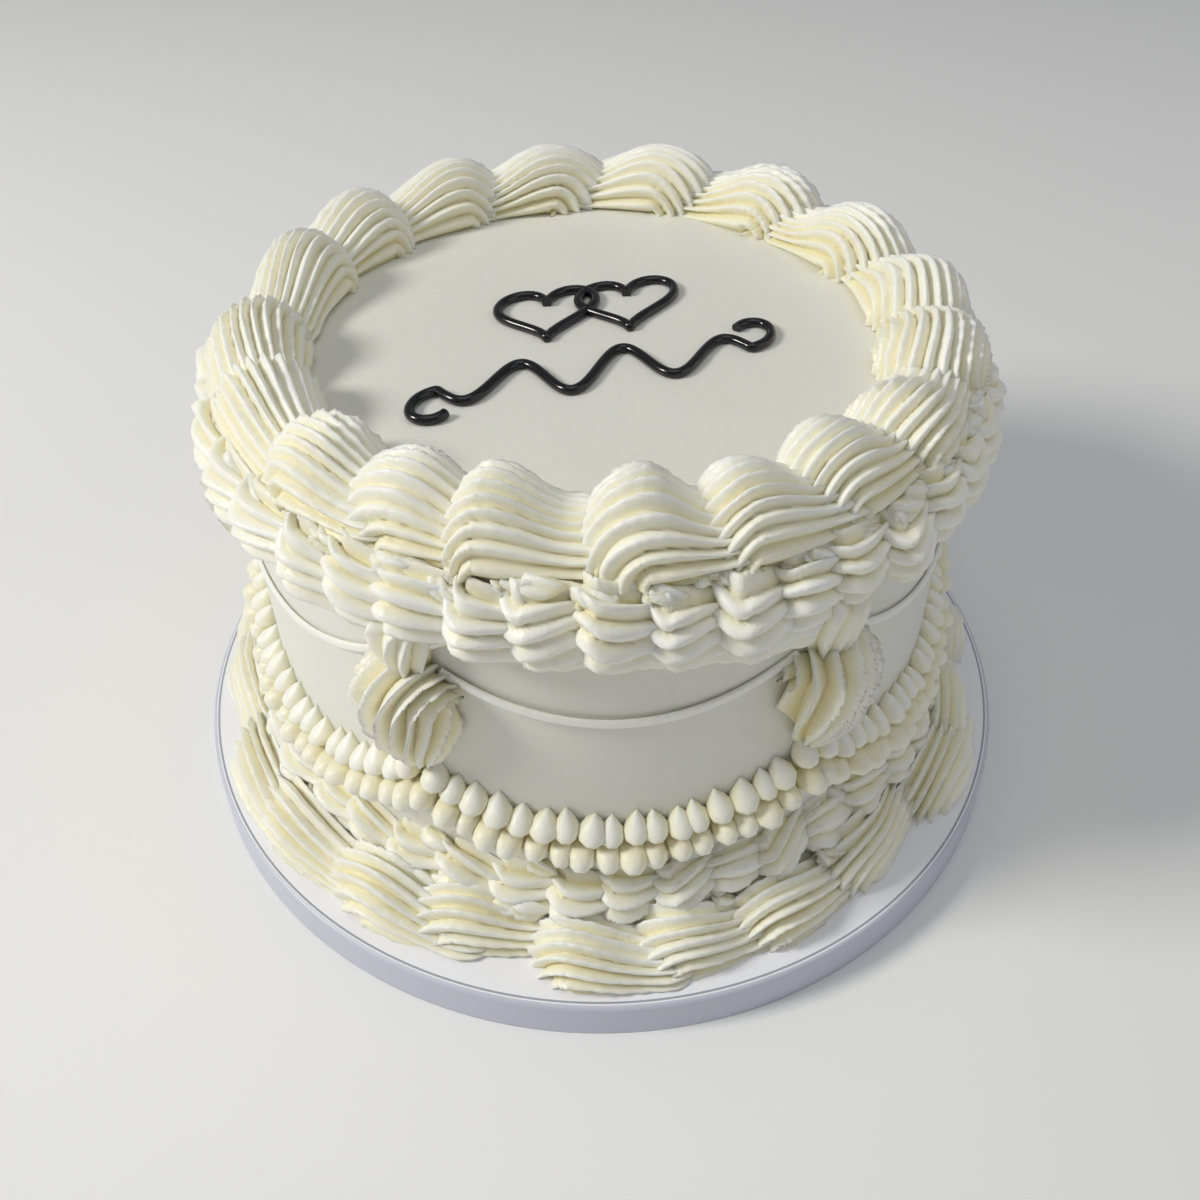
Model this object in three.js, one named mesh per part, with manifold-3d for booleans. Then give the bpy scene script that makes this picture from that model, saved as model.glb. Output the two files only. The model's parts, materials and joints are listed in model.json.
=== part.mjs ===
// A round one-tier wedding cake in ivory buttercream on its white cake drum.
// A shell border runs round the top edge, with a row of smaller shells below it on the side.
// Six drop strings and a double bead garland hang in swags between six pairs of drop shells.
// Two more rows of shells close the foot, and a black gel flourish lies on the flat top.
// Millimetres, +Z up, origin at the middle of the drum's underside.
import * as THREE from "three";
import { mergeVertices } from "three/addons/utils/BufferGeometryUtils.js";
import Module from "manifold-3d";

const wasm = await Module();
wasm.setup();

// Driving dimensions
const DRUM_RADIUS = 127;
const DRUM_HEIGHT = 12;
const DRUM_EDGE = 1.2;
const CAKE_RADIUS = 100;
const CAKE_TOP = 134;
const CAKE_EDGE = 2.5;
const GAP = 0.3;
const SWAGS = 6;
const FIRST_SWAG_JOINT = 242;
const FRONT_CROWDING = 10.9;
const SWAG_CROWDING = 2;
const ROUND_SIDES = 60;

// Heights and radii that follow from them
const WALL = CAKE_RADIUS + GAP;
const TOP = CAKE_TOP + GAP;
const BOARD = DRUM_HEIGHT + GAP;
const DEG = Math.PI / 180;
const TURN = 2 * Math.PI;

// Each row of shells: how many, where its base line runs, which way its crest points
// (90 is straight up, 0 is straight out), and the half width and height of one shell.
const TOP_BORDER = { shells: 18, radius: 88.5, height: TOP, crest: 90, halfWidth: 13, rise: 18.5, first: 0.01 };
const SIDE_BORDER = { shells: 36, radius: WALL, height: 123.2, crest: 0, halfWidth: 10, rise: 9.5, first: 0.012 };
const FOOT_UPPER = { shells: 36, radius: WALL, height: 27.5, crest: 18, halfWidth: 8.5, rise: 8.5, first: 0.02 };
const FOOT_LOWER = { shells: 20, radius: 111.5, height: BOARD, crest: 90, halfWidth: 9.8, rise: 17, first: 0.005 };

// The line in the section between the two rows at the foot: it starts on the wall and climbs outwards.
const FOOT_SPLIT_HEIGHT = 21;
const FOOT_SPLIT_SLOPE = 0.75;

const GARLAND = { beads: 108, middle: 48.2, sag: 13, upper: 8.8, lower: 9, rise: 7.6, between: 3.2 };
const STRING = { low: 90.5, sag: 16, radius: 1.15, steps: 9, sides: 5, clearOfJoint: 10.8 };
const DROP_LARGE = { top: 105, bottom: 69.8, halfWidth: 13, rise: 15.2 };
const DROP_SMALL = { top: 111.6, bottom: 92, halfWidth: 9, rise: 9.5 };
const GEL = { radius: 1.35, sides: 5, slope: 0.2 };
const HEARTS = { size: 14, apart: 23, x: -1.5, y: 15 };
const SCROLL = { from: -49, to: 50, y: -18.5, wave: 9, waves: 3, waveFades: 0.35 };
const SPIRAL = { radius: 8, turn: 3.9, shrinks: 0.5 };

const IVORY = new THREE.Color("#f1eee0");
const finish = {
  icing: new THREE.MeshStandardMaterial({ name: "icing", color: IVORY, roughness: 0.55, metalness: 0 }),
  piping: new THREE.MeshStandardMaterial({ name: "piping", color: IVORY, roughness: 0.5, metalness: 0 }),
  drum: new THREE.MeshStandardMaterial({ name: "drum", color: "#e3e5ec", roughness: 0.4, metalness: 0 }),
  gel: new THREE.MeshStandardMaterial({ name: "gel", color: "#0b0b0d", roughness: 0.25, metalness: 0 }),
};

const cake = new THREE.Group();
cake.name = "wedding_cake";

function addPiece(name, geometry, material) {
  const mesh = new THREE.Mesh(geometry, material);
  mesh.name = name;
  cake.add(mesh);
  return mesh;
}

// A small seeded draw in -1..1, so that each shell differs a little and every run is the same.
function seededDraw(seed) {
  let state = seed;
  return () => {
    state = (state * 16807) % 2147483647;
    return (2 * state) / 2147483647 - 1;
  };
}

// Piped rows are tighter towards the front of this cake and looser behind.
function pipedAngle(share, crowding = FRONT_CROWDING) {
  return TURN * share - crowding * DEG * Math.cos(TURN * share);
}

function toSolid(geometry) {
  const bare = new THREE.BufferGeometry();
  bare.setAttribute("position", geometry.getAttribute("position"));
  if (geometry.index) bare.setIndex(geometry.index);
  const merged = mergeVertices(bare, 1e-4);
  const vertProperties = merged.getAttribute("position").array;
  const triVerts = new Uint32Array(merged.index.array);
  return new wasm.Manifold(new wasm.Mesh({ numProp: 3, vertProperties, triVerts }));
}

function toGeometry(solid) {
  const mesh = solid.getMesh();
  const geometry = new THREE.BufferGeometry();
  const positions = new Float32Array(mesh.numVert * 3);
  for (let v = 0; v < mesh.numVert; v += 1) {
    for (let axis = 0; axis < 3; axis += 1) {
      positions[3 * v + axis] = mesh.vertProperties[mesh.numProp * v + axis];
    }
  }
  geometry.setAttribute("position", new THREE.BufferAttribute(positions, 3));
  geometry.setIndex([...mesh.triVerts]);
  geometry.computeVertexNormals();
  return geometry;
}

function joined(geometries) {
  const solids = geometries.map(toSolid);
  return toGeometry(solids.reduce((whole, next) => whole.add(next)));
}

function geometryOf(points, faces) {
  const geometry = new THREE.BufferGeometry();
  geometry.setAttribute("position", new THREE.Float32BufferAttribute(points.flat(), 3));
  geometry.setIndex(faces.flat());
  geometry.computeVertexNormals();
  return geometry;
}

// Faces of a closed band: rings of equal size, joined one to the next.
function bandFaces(rings, sides, closed) {
  const faces = [];
  const last = closed ? rings : rings - 1;
  for (let i = 0; i < last; i += 1) {
    for (let j = 0; j < sides; j += 1) {
      const a = i * sides + j;
      const b = i * sides + ((j + 1) % sides);
      const c = ((i + 1) % rings) * sides + j;
      const d = ((i + 1) % rings) * sides + ((j + 1) % sides);
      faces.push([a, b, d], [a, d, c]);
    }
  }
  return faces;
}

// How full a shell is at share s of its length: round at the head, drawn out to a thin tail.
const HEAD_SHARE = 0.36;
function fullness(s) {
  if (s < HEAD_SHARE) return Math.sqrt(1 - (1 - s / HEAD_SHARE) ** 2);
  return Math.cos((Math.PI / 2) * ((s - HEAD_SHARE) / (1 - HEAD_SHARE))) ** 0.8;
}

// A shell's underside is flattened onto what it lies on, and its ridges fade out towards that side.
const MIDDLE_HEIGHT = 0.3;
const RIDGES_FADE = 0.35;

// One piped shell, in its own frame: x along the pull, y across, z away from what it lies on.
// Every second point of its section stands proud, which makes the ridges that a star tip leaves.
function shellPoints({ length, halfWidth, rise, rows, sides, ridge }) {
  const points = [[0, 0, 0]];
  for (let i = 1; i <= rows; i += 1) {
    const s = (1 - Math.cos((Math.PI * i) / (rows + 1))) / 2;
    const full = fullness(s);
    for (let j = 0; j < sides; j += 1) {
      const turn = (TURN * (j + 0.5)) / sides;
      const proud = 1 + (j % 2 ? ridge : -ridge) * Math.max(0, Math.cos(turn) + RIDGES_FADE);
      const up = full * rise * (MIDDLE_HEIGHT + (1 - MIDDLE_HEIGHT) * Math.cos(turn) * proud);
      points.push([length * s, full * halfWidth * Math.sin(turn) * proud, Math.max(0, up)]);
    }
  }
  points.push([length, 0, 0]);
  return points;
}

function shellFaces(rows, sides) {
  const ring = (i, j) => 1 + i * sides + ((j + sides) % sides);
  const end = 1 + rows * sides;
  const faces = [];
  for (let j = 0; j < sides; j += 1) {
    faces.push([0, ring(0, j + 1), ring(0, j)]);
    for (let i = 0; i + 1 < rows; i += 1) {
      faces.push([ring(i, j), ring(i + 1, j + 1), ring(i + 1, j)]);
      faces.push([ring(i, j), ring(i, j + 1), ring(i + 1, j + 1)]);
    }
    faces.push([ring(rows - 1, j), ring(rows - 1, j + 1), end]);
  }
  return faces;
}

// Carries a point from a row's own frame to the cake: x runs round it, z points along the crest.
function onRow(row, angle, [x, y, z], limit) {
  const crest = row.crest * DEG;
  const radius = row.radius + z * Math.cos(crest) + y * Math.sin(crest);
  const height = row.height + z * Math.sin(crest) - y * Math.cos(crest);
  const [r, h] = limit ? limit(radius, height) : [radius, height];
  const turn = angle + x / row.radius;
  return [r * Math.cos(turn), r * Math.sin(turn), h];
}

// A ring of single shells, each with its head over the tail of the one before, fused into one solid.
function shellRow(row, { rows, sides, ridge, overlap, seed, limit }) {
  const draw = seededDraw(seed);
  const shells = [];
  for (let n = 0; n < row.shells; n += 1) {
    const angle = pipedAngle(row.first + n / row.shells);
    const next = pipedAngle(row.first + (n + 1) / row.shells);
    const shape = {
      length: ((next - angle) * row.radius) / overlap,
      halfWidth: row.halfWidth * (1 + 0.04 * draw()),
      rise: row.rise * (1 + 0.05 * draw()),
      rows,
      sides,
      ridge,
    };
    const points = shellPoints(shape).map((p) => onRow(row, angle, p, limit));
    shells.push(geometryOf(points, shellFaces(rows, sides)));
  }
  return joined(shells);
}

// A ring of small shells as one rippled rope: it swells at each head and dips where the tail goes under.
// Its width changes only by the last share as much as its height.
const RIPPLE = [0.62, 1, 0.84];
const RIPPLE_WIDTH = 0.25;
function rippledRow(row, { sides, ridge, limit }) {
  const points = [];
  const rings = row.shells * RIPPLE.length;
  for (let i = 0; i < rings; i += 1) {
    const full = RIPPLE[i % RIPPLE.length];
    const angle = pipedAngle(row.first + i / rings);
    for (let j = 0; j < sides; j += 1) {
      const across = Math.PI * (j / (sides - 1) - 0.5);
      const proud = j % 2 ? 1 + ridge : 1 - ridge;
      const y = row.halfWidth * Math.sin(across) * (1 - RIPPLE_WIDTH * (1 - full));
      const z = Math.cos(across) ** 0.7 * row.rise * full * proud;
      points.push(onRow(row, angle, [0, y, Math.max(0, z)], limit));
    }
  }
  return geometryOf(points, bandFaces(rings, sides, true));
}

// Where the swags meet, and the share 0..1 of the way through its swag at which an angle lies.
function jointAngle(n) {
  const share = (FIRST_SWAG_JOINT + (360 / SWAGS) * n) / 360;
  return pipedAngle(share, SWAG_CROWDING);
}

function swagHeight(low, sag, share) {
  return low + sag * (2 * share - 1) ** 2;
}

// The garland: two rows of beads, tips up above and tips down below, round the whole cake.
// A bead is thickest at this share of its height, and between beads the band is this much lower.
const BEAD_BELLY = 0.45;
const BETWEEN_REACH = 0.72;
const CREASE_DEPTH = 0.9;
function garlandGeometry() {
  const { beads, middle, sag, upper, lower, rise, between } = GARLAND;
  const columns = beads * 2;
  const points = [];
  for (let i = 0; i < columns; i += 1) {
    const share = (i / columns) * SWAGS;
    const swag = Math.floor(share);
    const angle = THREE.MathUtils.lerp(jointAngle(swag), jointAngle(swag + 1), share - swag);
    const z = swagHeight(middle, sag, share - swag);
    const onBead = i % 2 === 1;
    const out = onBead ? rise : between;
    const reach = onBead ? 1 : BETWEEN_REACH;
    const section = [
      [WALL, z + upper * reach],
      [WALL + out, z + upper * BEAD_BELLY],
      [WALL + between * CREASE_DEPTH, z],
      [WALL + out, z - lower * BEAD_BELLY],
      [WALL, z - lower * reach],
    ];
    for (const [r, h] of section) points.push([r * Math.cos(angle), r * Math.sin(angle), h]);
  }
  return geometryOf(points, bandFaces(columns, 5, true));
}

// A tube with closed ends along a curve.
function tubeAlong(curve, radius, sides, steps) {
  const section = new THREE.Shape();
  for (let k = 0; k < sides; k += 1) {
    const turn = (TURN * k) / sides;
    if (k === 0) section.moveTo(radius, 0);
    else section.lineTo(radius * Math.cos(turn), radius * Math.sin(turn));
  }
  section.closePath();
  return new THREE.ExtrudeGeometry(section, { steps, extrudePath: curve, curveSegments: 1 });
}

function stringGeometry(n) {
  const from = jointAngle(n) + (STRING.clearOfJoint + GAP) / CAKE_RADIUS;
  const to = jointAngle(n + 1) - (STRING.clearOfJoint + GAP) / CAKE_RADIUS;
  const r = WALL + STRING.radius;
  const route = [];
  for (let i = 0; i <= STRING.steps; i += 1) {
    const share = i / STRING.steps;
    const angle = THREE.MathUtils.lerp(from, to, share);
    const z = swagHeight(STRING.low, STRING.sag, share);
    route.push(new THREE.Vector3(r * Math.cos(angle), r * Math.sin(angle), z));
  }
  return tubeAlong(new THREE.CatmullRomCurve3(route), STRING.radius, STRING.sides, STRING.steps);
}

// A drop is two shells piped downwards on the wall, the small one above tucked behind the large one.
function hangingShell({ top, bottom, halfWidth, rise }, angle, rows, sides) {
  const shape = { length: top - bottom, halfWidth, rise, rows, sides, ridge: 0.13 };
  const points = shellPoints(shape).map(([x, y, z]) => {
    const r = WALL + z;
    const turn = angle - y / CAKE_RADIUS;
    return [r * Math.cos(turn), r * Math.sin(turn), top - x];
  });
  return geometryOf(points, shellFaces(rows, sides));
}

function dropGeometry(n) {
  const angle = jointAngle(n);
  return joined([hangingShell(DROP_SMALL, angle, 3, 8), hangingShell(DROP_LARGE, angle, 4, 12)]);
}

// The flat top carries two gel ornaments: a pair of hearts above a long scroll.
function onTop(x, y) {
  return new THREE.Vector3(x, y + GEL.slope * x, TOP + GEL.radius);
}

function gelStroke(outline, steps) {
  const curve = new THREE.CatmullRomCurve3(outline.map(([x, y]) => onTop(x, y)));
  return tubeAlong(curve, GEL.radius, GEL.sides, steps);
}

// Half of a heart's outline, from the notch round to the point. side is -1 or 1.
function heartHalf(centreX, centreY, size, side) {
  const points = [];
  for (let k = 0; k <= 8; k += 1) {
    const t = Math.PI * (0.04 + 0.96 * (k / 8));
    const x = Math.sin(t) ** 3;
    const y = (13 * Math.cos(t) - 5 * Math.cos(2 * t) - 2 * Math.cos(3 * t) - Math.cos(4 * t)) / 16;
    points.push([centreX + side * size * x, centreY + size * y]);
  }
  return points;
}

function heartsGeometry() {
  const strokes = [];
  for (const place of [-0.5, 0.5]) {
    const x = HEARTS.x + place * HEARTS.apart;
    for (const side of [-1, 1]) strokes.push(gelStroke(heartHalf(x, HEARTS.y, HEARTS.size, side), 9));
  }
  return joined(strokes);
}

// The scroll: a wave that dies away to both ends, where it curls into a spiral.
function scrollGeometry() {
  const { from, to, y, wave, waves, waveFades } = SCROLL;
  const waveSteps = 24;
  const spiralSteps = 8;
  const middle = (from + to) / 2;
  const half = (to - from) / 2 - SPIRAL.radius;
  const line = [];
  for (let k = 0; k <= waveSteps; k += 1) {
    const u = (2 * k) / waveSteps - 1;
    const swing = wave * (1 - waveFades * Math.abs(u));
    line.push([middle + u * half, y + swing * Math.sin(waves * Math.PI * u)]);
  }
  const strokes = [gelStroke(line, waveSteps)];
  for (const side of [-1, 1]) {
    const spiral = [];
    for (let k = 0; k <= spiralSteps; k += 1) {
      const share = k / spiralSteps;
      const turn = SPIRAL.turn * share;
      const r = SPIRAL.radius * (1 - SPIRAL.shrinks * share);
      spiral.push([
        middle + side * (half + r * Math.sin(turn)),
        y + side * (SPIRAL.radius - r * Math.cos(turn)),
      ]);
    }
    strokes.push(gelStroke(spiral, spiralSteps));
  }
  return joined(strokes);
}

// A solid of revolution from its outline, given from the bottom middle to the top middle.
function turned(outline, segments) {
  const geometry = new THREE.LatheGeometry(outline.map(([r, z]) => new THREE.Vector2(r, z)), segments);
  geometry.rotateX(Math.PI / 2);
  return geometry;
}

function drumGeometry() {
  const outer = DRUM_RADIUS;
  return turned([[0, 0], [outer, 0], [outer, DRUM_HEIGHT - DRUM_EDGE],
    [outer - DRUM_EDGE, DRUM_HEIGHT], [0, DRUM_HEIGHT]], ROUND_SIDES);
}

function cakeGeometry() {
  const outer = CAKE_RADIUS;
  return turned([[0, BOARD], [outer, BOARD], [outer, CAKE_TOP - CAKE_EDGE],
    [outer - CAKE_EDGE, CAKE_TOP], [0, CAKE_TOP]], ROUND_SIDES);
}

function footSplit(radius) {
  return FOOT_SPLIT_HEIGHT + FOOT_SPLIT_SLOPE * (radius - CAKE_RADIUS);
}

addPiece("drum", drumGeometry(), finish.drum);
addPiece("cake", cakeGeometry(), finish.icing);
addPiece("top_border",
  shellRow(TOP_BORDER, { rows: 4, sides: 14, ridge: 0.12, overlap: 0.68, seed: 11 }), finish.piping);
addPiece("side_border", rippledRow(SIDE_BORDER, { sides: 7, ridge: 0.12 }), finish.piping);
addPiece("garland", garlandGeometry(), finish.piping);
for (let n = 0; n < SWAGS; n += 1) {
  addPiece(`drop_string_${n + 1}`, stringGeometry(n), finish.piping);
  addPiece(`drop_shells_${n + 1}`, dropGeometry(n), finish.piping);
}
addPiece("foot_upper_border",
  rippledRow(FOOT_UPPER, {
    sides: 7,
    ridge: 0.12,
    limit: (r, h) => [Math.max(WALL, r), Math.max(footSplit(Math.max(WALL, r)) + GAP, h)],
  }), finish.piping);
addPiece("foot_lower_border",
  shellRow(FOOT_LOWER, {
    rows: 4,
    sides: 10,
    ridge: 0.12,
    overlap: 0.7,
    seed: 29,
    limit: (r, h) => [r, Math.min(footSplit(r) - GAP, h)],
  }), finish.piping);
addPiece("gel_hearts", heartsGeometry(), finish.gel);
addPiece("gel_scroll", scrollGeometry(), finish.gel);

export default cake;
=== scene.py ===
# %% [markdown]
# # A piped wedding cake
# A round cake in ivory buttercream stands on a white cake drum. Almost all of what we see is piping:
# shell borders, hanging shells, drop strings and a garland of beads, with a black gel flourish on top.
# Each cell below makes one of these, and the cell before it says how and why.

# %% Load the frame
import json
import math

import bmesh
import bpy
import numpy as np
from mathutils import Matrix, Vector

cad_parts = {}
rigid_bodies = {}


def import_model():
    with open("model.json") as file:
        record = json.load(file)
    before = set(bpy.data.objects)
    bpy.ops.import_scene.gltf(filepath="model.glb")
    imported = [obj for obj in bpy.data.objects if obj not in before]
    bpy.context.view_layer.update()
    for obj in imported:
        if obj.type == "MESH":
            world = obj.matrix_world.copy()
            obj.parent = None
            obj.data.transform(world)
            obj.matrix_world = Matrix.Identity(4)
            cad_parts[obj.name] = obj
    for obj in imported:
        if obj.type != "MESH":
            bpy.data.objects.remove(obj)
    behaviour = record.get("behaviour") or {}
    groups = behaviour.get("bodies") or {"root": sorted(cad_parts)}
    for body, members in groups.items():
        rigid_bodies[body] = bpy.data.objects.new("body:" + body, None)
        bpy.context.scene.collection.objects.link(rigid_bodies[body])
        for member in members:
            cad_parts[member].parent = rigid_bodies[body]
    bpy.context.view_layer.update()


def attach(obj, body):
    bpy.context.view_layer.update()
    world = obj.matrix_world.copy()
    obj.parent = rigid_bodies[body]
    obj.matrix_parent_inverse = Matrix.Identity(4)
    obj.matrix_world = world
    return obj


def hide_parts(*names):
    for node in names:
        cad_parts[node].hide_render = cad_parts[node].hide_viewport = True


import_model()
MM = 0.001

# %% [markdown]
# ## One helper for nodes, one for colours
# Materials and Geometry Nodes are both graphs. A single function that adds a node, sets its options
# and links its inputs keeps every graph below readable. Colours are written as sRGB hex values, as
# a paint chart gives them, and Blender wants them linear, so one function converts them.

# %% Node and colour helpers
def add_node(tree, kind, inputs=None, **settings):
    made = tree.nodes.new(kind)
    for key, value in settings.items():
        setattr(made, key, value)
    for socket, value in (inputs or {}).items():
        target = made.inputs[socket]
        if isinstance(value, bpy.types.NodeSocket):
            tree.links.new(value, target)
        else:
            target.default_value = value
    return made


def linear(code):
    channels = [int(code[k:k + 2], 16) / 255 for k in (1, 3, 5)]
    return [c / 12.92 if c <= 0.04045 else ((c + 0.055) / 1.055) ** 2.4 for c in channels] + [1.0]


# %% [markdown]
# ## Buttercream
# The icing is butter beaten with sugar, so it is nearly white, a little yellow, and slightly
# see-through: light goes a few millimetres in and comes out warmer, and it bounces between the ridges.
# That is why the grooves between ridges look yellower than the crests. The colour paints this shade as
# well: every shell and bead below carries a number from 0 on a crest to 1 in a groove, and the colour
# follows it from the crest colour to a warm painted shade. A fine bump stands for sugar grain and small
# air bubbles.

# %% The buttercream material
GRAIN = 0.7 * MM
GRAIN_DEPTH = 0.3 * MM
BUBBLES = 2.6 * MM
BUBBLE_DEPTH = 0.7 * MM
TROWEL = 16 * MM
TROWEL_YELLOW = 0.35
TROWEL_WHITE = -0.12
LIGHT_REACH = 2.5 * MM


def buttercream(name, crest, groove, rough, grain):
    material = bpy.data.materials.new(name)
    material.use_nodes = True
    tree = material.node_tree
    shader = tree.nodes["Principled BSDF"]
    place = add_node(tree, "ShaderNodeTexCoord").outputs["Object"]
    depth = add_node(tree, "ShaderNodeAttribute", attribute_name="groove").outputs["Fac"]
    patches = add_node(tree, "ShaderNodeTexNoise", {"Vector": place, "Scale": 1 / TROWEL, "Detail": 3.0})
    soft = add_node(tree, "ShaderNodeMath", {0: patches.outputs["Fac"], 1: TROWEL_YELLOW, 2: TROWEL_WHITE},
                    operation="MULTIPLY_ADD")
    # Painted shade: the groove number pulls the colour towards the warm groove colour, and the trowel noise
    # adds random patches of that colour.
    blend = add_node(tree, "ShaderNodeMath", {0: depth, 1: soft.outputs[0]}, operation="ADD", use_clamp=True)
    colour = add_node(tree, "ShaderNodeMix", {0: blend.outputs[0], 6: linear(crest), 7: linear(groove)},
                      data_type="RGBA")
    tree.links.new(colour.outputs[2], shader.inputs["Base Color"])
    sugar = add_node(tree, "ShaderNodeTexNoise", {"Vector": place, "Scale": 1 / GRAIN, "Detail": 4.0})
    uneven = add_node(tree, "ShaderNodeTexNoise", {"Vector": place, "Scale": 1 / BUBBLES, "Detail": 2.0})
    soft_bump = add_node(tree, "ShaderNodeBump", {"Height": uneven.outputs["Fac"], "Strength": grain,
                                                  "Distance": BUBBLE_DEPTH})
    bump = add_node(tree, "ShaderNodeBump", {"Height": sugar.outputs["Fac"], "Strength": grain,
                                             "Distance": GRAIN_DEPTH, "Normal": soft_bump.outputs["Normal"]})
    tree.links.new(bump.outputs["Normal"], shader.inputs["Normal"])
    shader.inputs["Roughness"].default_value = rough
    shader.inputs["IOR"].default_value = 1.45
    shader.inputs["Subsurface Weight"].default_value = 0.25
    shader.inputs["Subsurface Radius"].default_value = (1.0, 0.75, 0.4)
    shader.inputs["Subsurface Scale"].default_value = LIGHT_REACH
    return material


# The piped cream's second colour is the warm painted shade of its grooves; it also tints the trowel patches.
piped_cream = buttercream("piped_buttercream", "#fcfcf5", "#f4eabc", 0.38, 0.3)
# The smoothed cream is painted greyer than the piped cream: painted shade on the flat top and the walls,
# which take less light than the shells' lit flanks. Its second colour only tints the trowel patches.
shaded_smooth_cream = buttercream("smoothed_buttercream", "#e9e9e0", "#e3e1d2", 0.38, 0.15)
print("buttercream grain", GRAIN / MM, "mm, trowel marks", TROWEL / MM, "mm")

# %% [markdown]
# ## From points to a finished piece
# Every piece ends the same way: a closed mesh with its normals outwards, smooth shading, a material,
# and a line that says which solids of the CAD model it stands for.

# %% Finishing a piece
def closed_piece(name, points, faces, groove=None):
    mesh = bpy.data.meshes.new(name)
    mesh.from_pydata([tuple(p) for p in points], [], faces)
    if groove is not None:
        mesh.attributes.new("groove", "FLOAT", "POINT").data.foreach_set("value", groove)
    shape = bmesh.new()
    shape.from_mesh(mesh)
    bmesh.ops.remove_doubles(shape, verts=shape.verts, dist=0.002 * MM)
    rim = [edge for edge in shape.edges if edge.is_boundary]
    if rim:
        bmesh.ops.holes_fill(shape, edges=rim, sides=0)
    bmesh.ops.recalc_face_normals(shape, faces=shape.faces)
    shape.to_mesh(mesh)
    shape.free()
    mesh.shade_smooth()
    return bpy.data.objects.new(name, mesh)


def finish_piece(piece, material, nodes):
    bpy.context.scene.collection.objects.link(piece)
    piece.data.materials.clear()
    piece.data.materials.append(material)
    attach(piece, "root")
    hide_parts(*nodes)
    triangles = sum(len(face.vertices) - 2 for face in piece.data.polygons)
    print(piece.name, triangles, "triangles, size in mm", [round(v / MM, 1) for v in piece.dimensions])


# %% [markdown]
# ## The iced cake
# The cake itself is a cylinder, smoothed with a scraper. Its edge is softly rounded and its surface is
# never quite true: the scraper leaves shallow waves. A turned outline with a small wave added to each
# point is enough, and it needs few faces.

# %% The cake
DRUM_HEIGHT = 12 * MM
GAP = 0.3 * MM
CAKE_RADIUS = 100 * MM
CAKE_TOP = 134 * MM
CAKE_EDGE = 3 * MM
CAKE_SIDES = 144
SCRAPER_WAVE = 0.25 * MM
SLOW_WAVES = 3
QUICK_WAVES = 7
QUICK_SHARE = 0.6
DRIFT_UP_THE_WALL = 40
DRIFT_ACROSS_THE_TOP = 90
BASE_STEPS = 2
WALL_STEPS = 20
EDGE_STEPS = 4
TOP_STEPS = 24


def ring_faces(rings, around):
    faces = []
    for low in range(0, (rings - 1) * around, around):
        high = low + around
        for k in range(around):
            after = (k + 1) % around
            faces.append((low + k, low + after, high + after, high + k))
    return faces


def turned(name, outline, sides, wave=0.0):
    points = []
    for radius, height in outline:
        for k in range(sides):
            turn = math.tau * k / sides
            out = radius / CAKE_RADIUS
            slow = math.sin(SLOW_WAVES * turn + DRIFT_UP_THE_WALL * height)
            quick = math.sin(QUICK_WAVES * turn - DRIFT_ACROSS_THE_TOP * radius)
            ripple = wave * (slow + QUICK_SHARE * quick)
            inner = radius + ripple * out
            lift = ripple * 4 * out ** 2 * (1 - out) if height > CAKE_TOP - GAP else 0.0
            points.append((inner * math.cos(turn), inner * math.sin(turn), height + lift))
    return closed_piece(name, points, ring_faces(len(outline), sides))


def rounded_outline(radius, low, high, edge):
    outline = [(radius * k / BASE_STEPS, low) for k in range(BASE_STEPS)]
    outline += [(radius, low + (high - edge - low) * k / WALL_STEPS) for k in range(WALL_STEPS + 1)]
    outline += [(radius - edge * (1 - math.cos(a)), high - edge * (1 - math.sin(a)))
                for a in (math.pi / 2 * k / EDGE_STEPS for k in range(1, EDGE_STEPS + 1))]
    outline += [((radius - edge) * (1 - k / TOP_STEPS), high) for k in range(1, TOP_STEPS + 1)]
    return outline


cake_outline = rounded_outline(CAKE_RADIUS, DRUM_HEIGHT + GAP, CAKE_TOP, CAKE_EDGE)
iced_cake = turned("iced_cake", cake_outline, CAKE_SIDES, wave=SCRAPER_WAVE)
finish_piece(iced_cake, shaded_smooth_cream, ["cake"])

# %% [markdown]
# ## The cake drum
# A cake drum is 12 mm of card wrapped in white laminated paper, with a band of silvery paper glued round
# its edge. The band's upper rim shows as a thin grey line just inside the edge. We turn the drum like the
# cake and draw the line by its radius.

# %% The drum
DRUM_RADIUS = 127 * MM
DRUM_EDGE = 1.2 * MM
DRUM_SIDES = 192
BAND_WIDTH = 1.1 * MM
RIM_LINE = 125.2 * MM
RIM_LINE_WIDTH = 0.3 * MM


def laminated_paper(name):
    material = bpy.data.materials.new(name)
    material.use_nodes = True
    tree = material.node_tree
    shader = tree.nodes["Principled BSDF"]
    place = add_node(tree, "ShaderNodeTexCoord").outputs["Object"]
    flat = add_node(tree, "ShaderNodeVectorMath", {0: place, 1: (1, 1, 0)}, operation="MULTIPLY")
    radius = add_node(tree, "ShaderNodeVectorMath", {0: flat.outputs[0]}, operation="LENGTH")
    line = add_node(tree, "ShaderNodeMath", {0: radius.outputs["Value"], 1: RIM_LINE, 2: RIM_LINE_WIDTH},
                    operation="COMPARE")
    band = add_node(tree, "ShaderNodeMath", {0: radius.outputs["Value"], 1: DRUM_RADIUS - BAND_WIDTH},
                    operation="GREATER_THAN")
    top = add_node(tree, "ShaderNodeMix", {0: band.outputs[0], 6: linear("#f6f7fd"), 7: linear("#cccedc")},
                   data_type="RGBA")
    inked = add_node(tree, "ShaderNodeMix", {0: line.outputs[0], 6: top.outputs[2], 7: linear("#a4a6b4")},
                     data_type="RGBA")
    tree.links.new(inked.outputs[2], shader.inputs["Base Color"])
    shader.inputs["Roughness"].default_value = 0.38
    shader.inputs["IOR"].default_value = 1.5
    return material


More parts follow.
